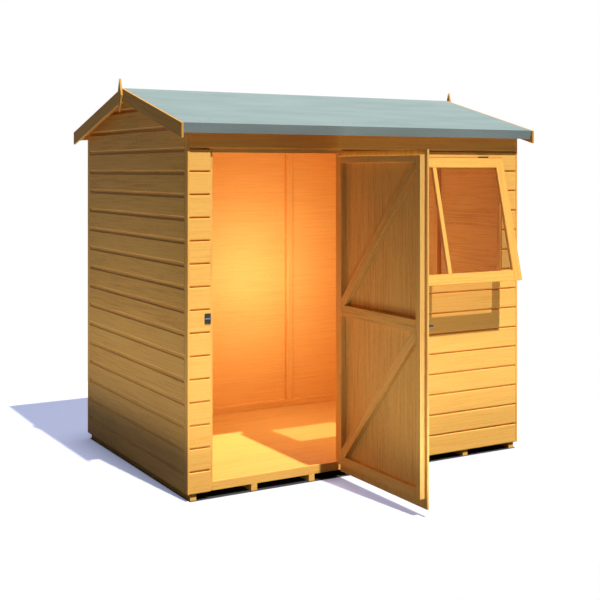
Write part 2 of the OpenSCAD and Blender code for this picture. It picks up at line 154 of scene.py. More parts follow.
def use_only(*objs):
    """Select these objects and nothing else, the first one active."""
    bpy.ops.object.select_all(action="DESELECT")
    for obj in objs:
        obj.select_set(True)
    bpy.context.view_layer.objects.active = objs[0]


def put_together(parts, name, material):
    """Join timbers to one piece, with soft shading on its eased edges."""
    use_only(*parts)
    if len(parts) > 1:
        bpy.ops.object.join()
    piece = bpy.context.object
    piece.name = name
    piece.data.name = name
    piece.data.materials.clear()
    piece.data.materials.append(material)
    bpy.ops.object.shade_smooth_by_angle(angle=soft_angle)
    flat = piece.modifiers.new("flat", "WEIGHTED_NORMAL")
    flat.keep_sharp = True
    bpy.ops.object.modifier_apply(modifier=flat.name)
    return piece


def ease(timber, width):
    """Plane the sharp arrises off a timber."""
    use_only(timber)
    bevel = timber.modifiers.new("eased", "BEVEL")
    bevel.width = width
    bevel.segments = 2
    bpy.ops.object.modifier_apply(modifier=bevel.name)


def carried_over(*nodes):
    """Copies of CAD nodes as single timbers, merged and freed of needless edges."""
    timbers = []
    for node in nodes:
        obj = bpy.data.objects.new(node + "_timber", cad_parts[node].data.copy())
        bpy.context.scene.collection.objects.link(obj)
        use_only(obj)
        bpy.ops.object.mode_set(mode="EDIT")
        bpy.ops.mesh.select_all(action="SELECT")
        bpy.ops.mesh.remove_doubles(threshold=weld_gap)
        bpy.ops.mesh.dissolve_limited(angle_limit=flat_angle)
        bpy.ops.mesh.separate(type="LOOSE")
        bpy.ops.object.mode_set(mode="OBJECT")
        timbers += bpy.context.selected_objects
    return timbers


def middle_of(timber):
    """The middle of a timber's box."""
    return sum((Vector(corner) for corner in timber.bound_box), Vector()) / 8


sawn = softwood("planed_spruce_framing", "#F6BD61", "#F1B459", "#D89844", 0.68)
joists = carried_over("floor_joists")
joist_lines = []
for joist in joists:
    joist_lines.append(middle_of(joist).x)
    ease(joist, frame_arris)
    lay_grain(joist)
joists = put_together(joists, "joists", sawn)
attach(joists, "shed")
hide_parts("floor_joists")

# Floor: ten planed softwood boards along the front, tongued together and nailed to the joists.
# One board is modelled with eased edges and repeated from front to back.
floor_low, floor_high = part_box("floor_deck")
floor_boards = 10
board_cover = (floor_high[1] - floor_low[1]) / floor_boards
floor_joint = 0.0003
floor_arris = 0.0006


def block(middle, sides):
    """A cube brought to its place and size, ready to be shaped."""
    bpy.ops.object.select_all(action="DESELECT")
    bpy.ops.mesh.primitive_cube_add(size=1, location=middle, scale=sides)
    bpy.ops.object.transform_apply(location=True, rotation=False, scale=True)
    return bpy.context.object


def side_by_side(board, count, cover_width):
    """Repeat a board along Y and give back every copy as a timber of its own."""
    use_only(board)
    rows = board.modifiers.new("rows", "ARRAY")
    rows.count = count
    rows.use_relative_offset = False
    rows.use_constant_offset = True
    rows.constant_offset_displace = (0, cover_width, 0)
    bpy.ops.object.modifier_apply(modifier=rows.name)
    bpy.ops.object.mode_set(mode="EDIT")
    bpy.ops.mesh.separate(type="LOOSE")
    bpy.ops.object.mode_set(mode="OBJECT")
    return list(bpy.context.selected_objects)


first_board = block(
    (0, floor_low[1] + board_cover / 2, (floor_low[2] + floor_high[2]) / 2),
    (floor_high[0] - floor_low[0], board_cover - floor_joint, floor_high[2] - floor_low[2]))
bpy.ops.object.mode_set(mode="EDIT")
bpy.ops.mesh.select_all(action="SELECT")
bpy.ops.mesh.bevel(offset=floor_arris, segments=2, affect="EDGES")
bpy.ops.object.mode_set(mode="OBJECT")
floor = side_by_side(first_board, floor_boards, board_cover)
for board in floor:
    lay_grain(board, (1, 0, 0))
planed = softwood("planed_spruce_floor", "#E8B158", "#E4AA53", "#D09543", 0.6)
floor = put_together(floor, "floor_boards", planed)
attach(floor, "shed")
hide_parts("floor_deck")

# Wall frames: planed battens, halved and nailed to a frame for each wall.
# Studs stand between a bottom and a top rail; the doorway's and window's rails sit between studs.
stud_lines = {}
for wall in ("front", "back", "left", "right"):
    studs = carried_over(wall + "_studs")
    stud_lines[wall] = []
    for stud in studs:
        ease(stud, frame_arris)
        lay_grain(stud, (0, 0, 1))
        stud_lines[wall].append(middle_of(stud))
    rails = carried_over(wall + "_rails")
    for rail in rails:
        ease(rail, frame_arris)
        lay_grain(rail)
    studs = put_together(studs, wall + "_frame_studs", sawn)
    rails = put_together(rails, wall + "_frame_rails", sawn)
    for piece, node in ((studs, wall + "_studs"), (rails, wall + "_rails")):
        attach(piece, "shed")
        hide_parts(node)

# Threshold: a planed softwood sill in the doorway, nailed to the floor's front edge.
# A short packer stands beside each of its ends, level with the floor.
threshold = carried_over("door_threshold")
sill_low, sill_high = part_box("door_threshold")
sill_arris = 0.001
packer_w = 0.016
packer_play = 0.0004
packer_drop = 0.0005
packer_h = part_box("floor_deck")[1][2] - sill_low[2] - packer_drop
for x in (sill_low[0] - packer_w / 2, sill_high[0] + packer_w / 2):
    threshold.append(block(
        (x, (sill_low[1] + sill_high[1]) / 2, sill_low[2] + packer_h / 2),
        (packer_w - packer_play, sill_high[1] - sill_low[1] - packer_play, packer_h)))
for timber in threshold:
    ease(timber, sill_arris)
    lay_grain(timber, (1, 0, 0))
threshold = put_together(threshold, "threshold", sawn)
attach(threshold, "shed")
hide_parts("door_threshold")

# Front wall boards: 12 mm softwood shiplap, each scooped along its top so that the next one's lip laps it.
# A metre of board is extruded step by step up its scoop and down its lip, then cut to length for every row.
# The front has a short tight scoop, which gives thin joint lines in the light.
cover = 0.112
first_cover = 0.110
thick = 0.012
scoop_steps = 5
lip_in = 0.0022
lip_up = 0.007
lip_steps = 3
tight_in = 0.0096
tight_up = 0.0105
hair = 0.0001
slack = 0.001
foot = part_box("left_cladding")[0][2]


def pick(kind, test):
    """In edit mode, select only the vertices, edges or faces whose middle passes a test."""
    bpy.ops.mesh.select_mode(type=kind)
    bpy.ops.mesh.select_all(action="DESELECT")
    shape = bmesh.from_edit_mesh(bpy.context.object.data)
    things = {"VERT": shape.verts, "EDGE": shape.edges, "FACE": shape.faces}[kind]
    for thing in things:
        ends = [thing] if kind == "VERT" else thing.verts
        thing.select_set(bool(test(sum((v.co for v in ends), Vector()) / len(ends))))
    bmesh.update_edit_mesh(bpy.context.object.data)


def scooped_board(scoop_in, scoop_up):
    """A metre of shiplap: a lip rounded under its foot and a scoop of this depth and height at its top."""
    face_up = cover - scoop_up
    board = block((0.5, thick / 2, (face_up + lip_up) / 2), (1, thick, face_up - lip_up))
    bpy.ops.object.mode_set(mode="EDIT")
    top = face_up
    set_back = 0.0
    for step in range(1, scoop_steps + 1):
        turn = math.pi / 2 * step / scoop_steps
        higher = face_up + scoop_up * (1 - math.cos(turn))
        deeper = scoop_in * math.sin(turn)
        pick("FACE", lambda p: p.z > top - hair)
        bpy.ops.mesh.extrude_region_move(TRANSFORM_OT_translate={"value": (0, 0, higher - top)})
        pick("VERT", lambda p: p.z > higher - hair and p.y < thick - hair)
        bpy.ops.transform.translate(value=(0, deeper - set_back, 0))
        top = higher
        set_back = deeper
    bottom = lip_up
    set_back = 0.0
    for step in range(1, lip_steps + 1):
        turn = math.pi / 2 * step / lip_steps
        lower = lip_up * (1 - math.sin(turn))
        deeper = lip_in * (1 - math.cos(turn))
        pick("FACE", lambda p: p.z < bottom + hair)
        bpy.ops.mesh.extrude_region_move(TRANSFORM_OT_translate={"value": (0, 0, lower - bottom)})
        pick("VERT", lambda p: p.z < lower + hair and p.y < thick - hair)
        bpy.ops.transform.translate(value=(0, deeper - set_back, 0))
        bottom = lower
        set_back = deeper
    bpy.ops.object.mode_set(mode="OBJECT")
    return board


def cut_board(model, length, rise, place):
    """A copy of a metre of shiplap, brought to its length and height and put in its place."""
    board = bpy.data.objects.new("board", model.data.copy())
    bpy.context.scene.collection.objects.link(board)
    for v in board.data.vertices:
        if v.co.x > 0.5:
            v.co.x += length - 1
        if v.co.z > cover / 2:
            v.co.z += rise - cover
    board.data.transform(place)
    return board


def trim(board, point, outward):
    """Saw off what lies beyond a plane."""
    use_only(board)
    bpy.ops.object.mode_set(mode="EDIT")
    bpy.ops.mesh.select_all(action="SELECT")
    bpy.ops.mesh.bisect(plane_co=point, plane_no=outward, use_fill=True, clear_outer=True)
    bpy.ops.object.mode_set(mode="OBJECT")


def row_heights(top):
    """The lower line and cover of every row of boards from the ground up to a height."""
    lines = [(foot, first_cover)]
    while lines[-1][0] + lines[-1][1] < top - slack:
        lines.append((lines[-1][0] + lines[-1][1], cover))
    return lines


tight_board = scooped_board(tight_in, tight_up)
# This copy of the wood has its dark streaks painted faint, as painted light for the sunlit front; the back
# wall and the corner strips share it.
clad = softwood("dipped_spruce_front_shiplap", "#F9C163", "#F6BA5D", "#EBAB51", 0.58)
front_low, front_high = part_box("front_cladding_head")
door_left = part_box("front_cladding_left")[1][0]
door_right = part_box("front_cladding_middle")[0][0]
window_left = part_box("front_cladding_under_window")[0][0]
window_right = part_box("front_cladding_under_window")[1][0]
window_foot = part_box("front_cladding_under_window")[1][2]
window_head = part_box("front_cladding_over_window")[0][2]
door_head = front_low[2]
hole_depth = 0.1
nail_up = 0.03
nail_spots = []
front_boards = []
for z, rise in row_heights(front_high[2]):
    runs = [(front_low[0], front_high[0])]
    notched = False
    if z < door_head - slack:
        runs = [(front_low[0], door_left), (door_right, front_high[0])]
        if z > window_foot and z + rise < window_head:
            runs[1:] = [(door_right, window_left), (window_right, front_high[0])]
        notched = z < window_foot < z + rise or z < window_head < z + rise
    for x0, x1 in runs:
        for stud in stud_lines["front"]:
            if x0 < stud.x < x1:
                nail_spots.append(((stud.x, front_low[1], z + nail_up), (0, -1, 0)))
        board = cut_board(tight_board, x1 - x0, rise, Matrix.Translation((x0, front_low[1], z)))
        if z + rise > front_high[2] + slack:
            trim(board, (0, 0, front_high[2]), (0, 0, 1))
        if notched and x0 > door_left:
            hole = block(
                ((window_left + window_right) / 2, front_low[1], (window_foot + window_head) / 2),
                (window_right - window_left, hole_depth, window_head - window_foot))
            use_only(board)
            notch = board.modifiers.new("notch", "BOOLEAN")
            notch.object = hole
            notch.operation = "DIFFERENCE"
            bpy.ops.object.modifier_apply(modifier=notch.name)
            bpy.data.objects.remove(hole)
        lay_grain(board, (1, 0, 0))
        front_boards.append(board)
bpy.data.objects.remove(tight_board)
front_boards = put_together(front_boards, "front_wall_boards", clad)
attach(front_boards, "shed")
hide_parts("front_cladding_left", "front_cladding_head", "front_cladding_middle",
            "front_cladding_under_window", "front_cladding_over_window", "front_cladding_right")

# Back wall boards: the same shiplap in full lengths, with a longer scoop that leaves wide shaded joints.
# Each row is a copy of one board, turned to face backwards; the top one is sawn off under the eave.
long_in = 0.006
long_up = 0.022
long_board = scooped_board(long_in, long_up)
back_low, back_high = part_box("back_cladding")
back_boards = []
for z, rise in row_heights(back_high[2]):
    for stud in stud_lines["back"]:
        nail_spots.append(((stud.x, back_high[1], z + nail_up), (0, 1, 0)))
    place = Matrix.Translation((back_high[0], back_high[1], z)) @ Matrix.Rotation(math.pi, 4, "Z")
    board = cut_board(long_board, back_high[0] - back_low[0], rise, place)
    if z + rise > back_high[2] + slack:
        trim(board, (0, 0, back_high[2]), (0, 0, 1))
    lay_grain(board, (1, 0, 0))
    back_boards.append(board)
back_boards = put_together(back_boards, "back_wall_boards", clad)
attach(back_boards, "shed")
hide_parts("back_cladding")

# Gable boards: long-scooped shiplap on the left and right walls, whose upper rows are sawn along both slopes.
# The wood is the same, in a shaded copy: its dark streaks are painted stronger than on the sunlit front, as
# painted shade for walls out of the sun.
pitch = math.radians(15.1)
shaded_gable_wood = softwood("dipped_spruce_shiplap_painted_shade", "#F9C163", "#F2B55A", "#CF923F", 0.58)
for side, wall in ((-1, "left"), (1, "right")):
    low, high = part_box(wall + "_cladding")
    corner = (low[0], high[1]) if side < 0 else (high[0], low[1])
    gable_boards = []
    for z, rise in row_heights(high[2]):
        for stud in stud_lines[wall]:
            if z + 2 * nail_up < high[2] - abs(stud.y) * math.tan(pitch):
                nail_spots.append(((corner[0], stud.y, z + nail_up), (side, 0, 0)))
        place = Matrix.Translation((*corner, z)) @ Matrix.Rotation(side * math.pi / 2, 4, "Z")
        board = cut_board(long_board, high[1] - low[1], rise, place)
        if z + rise > high[2] - high[1] * math.tan(pitch):
            for lean in (-1, 1):
                trim(board, (0, 0, high[2]), (0, lean * math.sin(pitch), math.cos(pitch)))
        lay_grain(board, (0, 1, 0))
        gable_boards.append(board)
    gable_boards = put_together(gable_boards, wall + "_wall_boards", shaded_gable_wood)
    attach(gable_boards, "shed")
    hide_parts(wall + "_cladding")
bpy.data.objects.remove(long_board)

# Board nails: galvanised round heads, 4 mm across, one where each wall board crosses a stud and two where
# each floor board crosses a joist. One head is made from an eight-sided disc whose top is sunk and drawn in,
# and a copy of it is driven in at every crossing.
head_sides = 8
head_r = 0.002
head_h = 0.002
head_sunk = 0.0007
crown_h = 0.0003
crown_share = 0.7
floor_nail_share = 0.9
floor_nail_sunk = 0.0004
nails_across = (0.25, 0.75)
spangles_per_metre = 900.0
# Galvanised steel stained by the wood's dip: dull, hardly darker than the wood, with spangles 1 mm wide.
zinc = bare_material("galvanised_nail_steel")
tree = zinc.node_tree
where = put(tree, "ShaderNodeTexCoord", {}).outputs["Object"]
spangle = put(tree, "ShaderNodeTexNoise", {"Vector": where, "Scale": spangles_per_metre, "Detail": 2.0})
dull = put(tree, "ShaderNodeValToRGB", {"Fac": spangle.outputs["Fac"]})
dull.color_ramp.elements[0].color = linear("#B98F4C")
dull.color_ramp.elements[1].color = linear("#C79D58")
shader = put(tree, "ShaderNodeBsdfPrincipled", {
    "Base Color": dull.outputs["Color"], "Roughness": 0.6, "Metallic": 0.3})
put(tree, "ShaderNodeOutputMaterial", {"Surface": shader.outputs[0]})
bpy.ops.object.select_all(action="DESELECT")
bpy.ops.mesh.primitive_cylinder_add(vertices=head_sides, radius=head_r, depth=head_h)
nail_head = bpy.context.object
bpy.ops.object.mode_set(mode="EDIT")
pick("FACE", lambda p: p.z > head_h / 4)
bpy.ops.transform.translate(value=(0, 0, -head_sunk))
bpy.ops.mesh.extrude_region_move(TRANSFORM_OT_translate={"value": (0, 0, crown_h)})
bpy.ops.transform.resize(value=(crown_share, crown_share, 1))
bpy.ops.object.mode_set(mode="OBJECT")


def drive(head, spots, size, name, material):
    """Copies of a round head driven in at every spot, facing outward, joined to one piece."""
    heads = []
    for place, outward in spots:
        turn = Vector(outward).to_track_quat("Z", "Y").to_matrix().to_4x4()
        one = bpy.data.objects.new("head", head.data.copy())
        one.data.transform(Matrix.Translation(place) @ turn @ Matrix.Scale(size, 4))
        bpy.context.scene.collection.objects.link(one)
        heads.append(one)
    return put_together(heads, name, material)


wall_nails = drive(nail_head, nail_spots, 1, "wall_board_nails", zinc)
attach(wall_nails, "shed")
floor_spots = []
for row in range(floor_boards):
    for x in joist_lines:
        for part in nails_across:
            y = floor_low[1] + (row + part) * board_cover
            floor_spots.append(((x, y, floor_high[2] - floor_nail_sunk), (0, 0, 1)))
floor_nails = drive(nail_head, floor_spots, floor_nail_share, "floor_board_nails", zinc)
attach(floor_nails, "shed")

# Corner strips: planed softwood strips beside the gable boards, which cover the ends of the front and back
# boards. Each is a copy of its solid with well-eased edges, fixed with a row of nails.
strip_arris = 0.003
strip_nail_heights = (0.12, 0.44, 0.76, 1.08, 1.40, 1.70)
strips = carried_over("corner_strips")
strip_spots = []
for strip in strips:
    middle = middle_of(strip)
    side = math.copysign(1, middle.x)
    face = max(abs(corner[0]) for corner in strip.bound_box)
    for z in strip_nail_heights:
        strip_spots.append(((side * face, middle.y, z), (side, 0, 0)))
    ease(strip, strip_arris)
    lay_grain(strip, (0, 0, 1))
strip_nails = drive(nail_head, strip_spots, 1, "corner_strip_nails", zinc)
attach(strip_nails, "shed")
strips = put_together(strips, "corner_cover_strips", clad)
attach(strips, "shed")
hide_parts("corner_strips")

# Roof timbers: a ridge beam and a purlin on each slope, sawn softwood, let in between the gables.
# Each is a copy of its solid with the arrises eased.
for node, name in (("ridge_beam", "ridge"), ("purlins", "roof_purlins")):
    beams = carried_over(node)
    for beam in beams:
        ease(beam, frame_arris)
        lay_grain(beam, (1, 0, 0))
    beams = put_together(beams, name, sawn)
    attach(beams, "shed")
    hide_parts(node)

# Roof deck: tongued boards along the roof, nailed across the purlins; they show inside and under the eaves.
# Each slope is ripped from copies of its slab into eight boards, whose edges are eased.
# A fascia of the same wood closes each eave.
deck_boards = 8
deck_arris = 0.0012
deck_wood = softwood("planed_spruce_roof_boards", "#F1B65D", "#EBAC54", "#D0903F", 0.66)
for side, wall in ((-1, "front"), (1, "back")):
    low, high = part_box(wall + "_roof_deck")
    reach = high[1] - low[1]
    down_slope = (0, side * math.cos(pitch), -math.sin(pitch))
    boards = []
    for row in range(deck_boards):
        board = carried_over(wall + "_roof_deck")[0]
        for line, sense in ((row, -1), (row + 1, 1)):
            if 0 < line < deck_boards:
                y = side * reach * line / deck_boards
                z = high[2] - abs(y) * math.tan(pitch)
                trim(board, (0, y, z), [sense * n for n in down_slope])
        ease(board, deck_arris)
        lay_grain(board, (1, 0, 0))
        boards.append(board)
    boards = put_together(boards, wall + "_roof_boards", deck_wood)
    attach(boards, "shed")
    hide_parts(wall + "_roof_deck")
fascias = carried_over("eave_fascias")
for fascia in fascias:
    ease(fascia, deck_arris)
    lay_grain(fascia, (1, 0, 0))
fascias = put_together(fascias, "fascias", deck_wood)
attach(fascias, "shed")
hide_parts("eave_fascias")

# Roofing felt: a bitumen sheet faced with mineral grit, drawn over both slopes and turned down at the eaves.
# The grit gives a matte, slightly mottled grey-green.
# It is drawn 5 mm wide, coarser than real grit, so that it shows.
felt_arris = 0.0009
grit_per_metre = 200.0
clouds_per_metre = (2.2, 9, 9)
grit_share = 0.45
dark_grit_at = 0.36
pale_grit_at = 0.64
felt_face = bare_material("mineral_roofing_felt")
tree = felt_face.node_tree
where = put(tree, "ShaderNodeTexCoord", {}).outputs["Object"]
grit = put(tree, "ShaderNodeTexNoise", {"Vector": where, "Scale": grit_per_metre, "Detail": 2.0})
cloud = put(tree, "ShaderNodeMapping", {"Vector": where, "Scale": clouds_per_metre})
cloud = put(tree, "ShaderNodeTexNoise", {"Vector": cloud.outputs[0], "Scale": 1.0, "Detail": 4.0})
mottle = put(tree, "ShaderNodeMix", {0: grit_share, 2: cloud.outputs["Fac"], 3: grit.outputs["Fac"]})
colour = put(tree, "ShaderNodeValToRGB", {"Fac": mottle.outputs[0]})
colour.color_ramp.elements[0].position = dark_grit_at
colour.color_ramp.elements[0].color = linear("#849594")
colour.color_ramp.elements[1].position = pale_grit_at
colour.color_ramp.elements[1].color = linear("#93A3A1")
rough = put(tree, "ShaderNodeBump", {"Height": mottle.outputs[0], "Strength": 0.35, "Distance": 0.001})
shader = put(tree, "ShaderNodeBsdfPrincipled", {
    "Base Color": colour.outputs["Color"], "Roughness": 0.95, "Specular IOR Level": 0.2,
    "Normal": rough.outputs[0]})
put(tree, "ShaderNodeOutputMaterial", {"Surface": shader.outputs[0]})
felt = carried_over("roof_felt")
ease(felt[0], felt_arris)
felt = put_together(felt, "roofing_felt", felt_face)
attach(felt, "shed")
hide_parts("roof_felt")

# Bargeboards and finials: planed and dipped softwood boards nailed to the roof's ends and cut plumb,
# with a pointed batten over the joint at each peak.
barge_arris = 0.0014
barge_drop = 0.036
barge_nail_lines = (-0.70, -0.48, -0.26, -0.10, 0.10, 0.26, 0.48, 0.70)
trim_wood = softwood("dipped_spruce_bargeboards", "#DFAB57", "#D9A150", "#C1883D", 0.6)
for nodes, name in (
        (("front_bargeboards", "back_bargeboards"), "bargeboards"),
        (("finials",), "peak_finials")):
    boards = carried_over(*nodes)
    for board in boards:
        ease(board, barge_arris)
        lay_grain(board)
    boards = put_together(boards, name, trim_wood)
    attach(boards, "shed")
    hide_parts(*nodes)
barge_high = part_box("front_bargeboards")[1]
barge_spots = []
for side in (-1, 1):
    for y in barge_nail_lines:
        z = barge_high[2] - abs(y) * math.tan(pitch) - barge_drop
        barge_spots.append(((side * barge_high[0], y, z), (side, 0, 0)))
barge_nails = drive(nail_head, barge_spots, 1, "bargeboard_nails", zinc)
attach(barge_nails, "shed")

# Verge battens: planed 18 mm strips under the roof's ends, to which the bargeboards are nailed.
# One is modelled for each slope of the left gable, cut plumb, and turned half round for the right gable.
batten_t = 0.018
batten_h = 0.05
batten_arris = 0.001
batten_play = 0.0002
deck_plumb = 0.0116
slope_start = 0.04
slope_end = 0.748
verge_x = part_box("roof_felt")[0][0]
verge_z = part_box("front_roof_deck")[1][2] - deck_plumb
battens = []
for side in (-1, 1):
    batten = block(
        (verge_x + batten_t / 2 + batten_play, side * (slope_start + slope_end) / 2, verge_z - batten_h / 2),
        (batten_t, slope_end - slope_start, batten_h))
    bpy.ops.object.mode_set(mode="EDIT")
    for y in (slope_start, slope_end):
        pick("VERT", lambda p: abs(abs(p.y) - y) < slack)
        bpy.ops.transform.translate(value=(0, 0, -y * math.tan(pitch)))
    bpy.ops.object.mode_set(mode="OBJECT")
    ease(batten, batten_arris)
    opposite = bpy.data.objects.new("batten", batten.data.copy())
    opposite.data.transform(Matrix.Rotation(math.pi, 4, "Z"))
    bpy.context.scene.collection.objects.link(opposite)
    battens += [batten, opposite]
for batten in battens:
    lay_grain(batten)
battens = put_together(battens, "verge_battens", trim_wood)
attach(battens, "shed")

# Window sash: planed and dipped softwood stiles, rails and a middle bar, tenoned together.
# It hangs from two hinges at its head and is propped open. Each bar is a copy of its solid, eased.
sash_arris = 0.0018
sash_wood = softwood("dipped_spruce_sash", "#F6BC5F", "#F1B458", "#DE9E47", 0.52)
for node, name in (("sash_stiles", "sash_stiles_and_bar"), ("sash_rails", "sash_cross_rails")):
    bars = carried_over(node)
    for bar in bars:
        ease(bar, sash_arris)
        lay_grain(bar)
    bars = put_together(bars, name, sash_wood)
    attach(bars, "shed")
    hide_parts(node)

# Window panes: clear horticultural glass, 3 mm thick, let into the sash.
# It hardly shows but for a faint grey veil, which changes slowly over 110 mm as in rolled glass.
ripples_per_metre = 9.0
glass = bare_material("horticultural_glass")
tree = glass.node_tree
where = put(tree, "ShaderNodeTexCoord", {}).outputs["Object"]
ripple = put(tree, "ShaderNodeTexNoise", {"Vector": where, "Scale": ripples_per_metre, "Detail": 1.0})
veil = put(tree, "ShaderNodeValToRGB", {"Fac": ripple.outputs["Fac"]})
veil.color_ramp.elements[0].color = linear("#26261C")
veil.color_ramp.elements[1].color = linear("#303024")
shader = put(tree, "ShaderNodeBsdfPrincipled", {
    "Base Color": veil.outputs["Color"], "Roughness": 0.03, "Specular IOR Level": 0.02, "Alpha": 0.25})
put(tree, "ShaderNodeOutputMaterial", {"Surface": shader.outputs[0]})
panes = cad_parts["sash_glass"]
panes.data.materials.clear()
panes.data.materials.append(glass)

# Ironwork: hinges, latch and keep of pressed steel, powder coated black, which keep their solids' shapes.
# The coat is satin, with a faint orange-peel texture 2 mm wide. Round-headed screws fix them.
strap_half = 0.02
strap_thick = 0.004
latch_thick = 0.003
strap_screw_lines = (0.04, 0.11, 0.18, 0.25)
plate_screw_up = 0.024
latch_screw_in = 0.008
screw_share = 1.9
peel_per_metre = 450.0
iron = bare_material("black_powder_coated_steel")
tree = iron.node_tree
where = put(tree, "ShaderNodeTexCoord", {}).outputs["Object"]
peel = put(tree, "ShaderNodeTexNoise", {"Vector": where, "Scale": peel_per_metre, "Detail": 1.0})
shade = put(tree, "ShaderNodeValToRGB", {"Fac": peel.outputs["Fac"]})
shade.color_ramp.elements[0].color = linear("#141414")
shade.color_ramp.elements[1].color = linear("#242423")
skin = put(tree, "ShaderNodeBump", {"Height": peel.outputs["Fac"], "Strength": 0.2, "Distance": 0.0003})
shader = put(tree, "ShaderNodeBsdfPrincipled", {
    "Base Color": shade.outputs["Color"], "Roughness": 0.42, "Normal": skin.outputs[0]})
put(tree, "ShaderNodeOutputMaterial", {"Surface": shader.outputs[0]})
for node in ("window_hinges", "hinge_plates", "latch_keep", "hinge_straps", "door_latch"):
    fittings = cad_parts[node]
    fittings.data.materials.clear()
    fittings.data.materials.append(iron)
strap_low, strap_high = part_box("hinge_straps")
plate_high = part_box("hinge_plates")[1]
latch_low, latch_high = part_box("door_latch")
strap_face = strap_low[0] + strap_thick
plate_face = plate_high[1] - strap_thick
latch_face = latch_low[0] + latch_thick
strap_spots = []
plate_spots = []
for z in (strap_low[2] + strap_half, strap_high[2] - strap_half):
    for along in strap_screw_lines:
        strap_spots.append(((strap_face, strap_high[1] - along, z), (1, 0, 0)))
    for up in (-plate_screw_up, plate_screw_up):
        plate_spots.append(((plate_high[0] - strap_half, plate_face, z + up), (0, -1, 0)))
for z in (latch_low[2] + latch_screw_in, latch_high[2] - latch_screw_in):
    for y in (latch_low[1] + latch_screw_in, latch_high[1] - latch_screw_in):
        strap_spots.append(((latch_face, y, z), (1, 0, 0)))
strap_screws = drive(nail_head, strap_spots, screw_share, "door_fitting_screws", iron)
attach(strap_screws, "door")
plate_screws = drive(nail_head, plate_spots, screw_share, "hinge_plate_screws", iron)
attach(plate_screws, "shed")

# Latch knob and keep rod: turned steel, the knob black on the door's latch, the rod bright across its keep.
# Each is a short cylinder laid along the wall, with its ends rounded over.
knob_r = 0.0065
knob_l = 0.016
knob_seat = 0.001
rod_r = 0.0043
rod_in = 0.004
round_share = 0.4
turned_sides = 20
plating_per_metre = 300.0
# Zinc-plated steel: a cool blue-grey gleam, slightly clouded every 3 mm.
steel = bare_material("bright_zinc_plated_steel")
tree = steel.node_tree
where = put(tree, "ShaderNodeTexCoord", {}).outputs["Object"]
plating = put(tree, "ShaderNodeTexNoise", {"Vector": where, "Scale": plating_per_metre, "Detail": 1.0})
sheen = put(tree, "ShaderNodeValToRGB", {"Fac": plating.outputs["Fac"]})
sheen.color_ramp.elements[0].color = linear("#505466")
sheen.color_ramp.elements[1].color = linear("#707486")
shader = put(tree, "ShaderNodeBsdfPrincipled", {
    "Base Color": sheen.outputs["Color"], "Roughness": 0.4, "Metallic": 0.5})
put(tree, "ShaderNodeOutputMaterial", {"Surface": shader.outputs[0]})
keep_low, keep_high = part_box("latch_keep")
knob_place = (latch_high[0] + knob_l / 2 - knob_seat, (latch_low[1] + latch_high[1]) / 2,
              (latch_low[2] + latch_high[2]) / 2)
rod_place = ((keep_low[0] + keep_high[0]) / 2, keep_low[1] + rod_in, (keep_low[2] + keep_high[2]) / 2)
for name, body, place, radius, length, finish in (
        ("latch_knob", "door", knob_place, knob_r, knob_l, iron),
        ("keep_rod", "shed", rod_place, rod_r, keep_high[0] - keep_low[0], steel)):
    bpy.ops.object.select_all(action="DESELECT")
    bpy.ops.mesh.primitive_cylinder_add(
        vertices=turned_sides, radius=radius, depth=length, location=place, rotation=(0, math.pi / 2, 0))
    bpy.ops.object.transform_apply(location=True, rotation=True, scale=True)
    turned = bpy.context.object
    bpy.ops.object.mode_set(mode="EDIT")
    ends = (place[0] - length / 2, place[0] + length / 2)
    pick("EDGE", lambda p: min(abs(p.x - end) for end in ends) < hair)
    bpy.ops.mesh.bevel(offset=radius * round_share, segments=3, affect="EDGES")
    bpy.ops.object.mode_set(mode="OBJECT")
    turned = put_together([turned], name, finish)
    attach(turned, body)

# Door boards: seven upright tongued softwood boards with a small v at each joint, nailed to the door's frame.
# One board is modelled with its v edges on the outer side and repeated across the leaf.
leaf_low, leaf_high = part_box("door_boards")
leaf_boards = 7
leaf_cover = (leaf_high[1] - leaf_low[1]) / leaf_boards
leaf_joint = 0.0004
v_joint = 0.0034
mid_x = (leaf_low[0] + leaf_high[0]) / 2
mid_z = (leaf_low[2] + leaf_high[2]) / 2
door_wood = softwood("dipped_spruce_door", "#F5C56D", "#ECB764", "#CA974B", 0.56)
first_board = block(
    (mid_x, leaf_low[1] + leaf_cover / 2, mid_z),
    (leaf_high[0] - leaf_low[0], leaf_cover - leaf_joint, leaf_high[2] - leaf_low[2]))
bpy.ops.object.mode_set(mode="EDIT")
pick("EDGE", lambda p: abs(p.z - mid_z) < slack and p.x > mid_x)
bpy.ops.mesh.bevel(offset=v_joint, segments=1, affect="EDGES")
bpy.ops.object.mode_set(mode="OBJECT")
leaf = side_by_side(first_board, leaf_boards, leaf_cover)
for board in leaf:
    lay_grain(board, (0, 0, 1))
leaf = put_together(leaf, "door_leaf_boards", door_wood)
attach(leaf, "door")
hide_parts("door_boards")

# Door frame: stiles, three rails and two braces of planed softwood batten on the leaf's inner side.
# The boards are nailed to its rails from outside, two nails to a board.
door_arris = 0.0018
leaf_spots = []
for node in ("door_stiles", "door_rails", "door_braces"):
    battens = carried_over(node)
    for batten in battens:
        if node == "door_rails":
            for row in range(leaf_boards):
                for part in nails_across:
                    y = leaf_low[1] + (row + part) * leaf_cover
                    leaf_spots.append(((leaf_high[0], y, middle_of(batten).z), (1, 0, 0)))
        ease(batten, door_arris)
        lay_grain(batten)
    battens = put_together(battens, node.replace("door", "door_frame"), door_wood)
    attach(battens, "door")
    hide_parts(node)
leaf_nails = drive(nail_head, leaf_spots, 1, "door_leaf_nails", zinc)
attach(leaf_nails, "door")
bpy.data.objects.remove(nail_head)

# Studio floor: a small matt sheet, pale to the eye but dark to bounced light, that keeps the object's shadow.
# A faint cool glow, painted light, lifts it to white where the sun falls and tints its shadows blue-grey.
# Painted shade takes the glow away close to the walls and makes the floor dark under the shed.
floor_front = -2.3
floor_back = 2.4
floor_left = -2.6
floor_right = 2.3
lit_level = 0.5
bounce_and_painted_shade_level = 0.06
painted_contact_shade_reach = 0.25


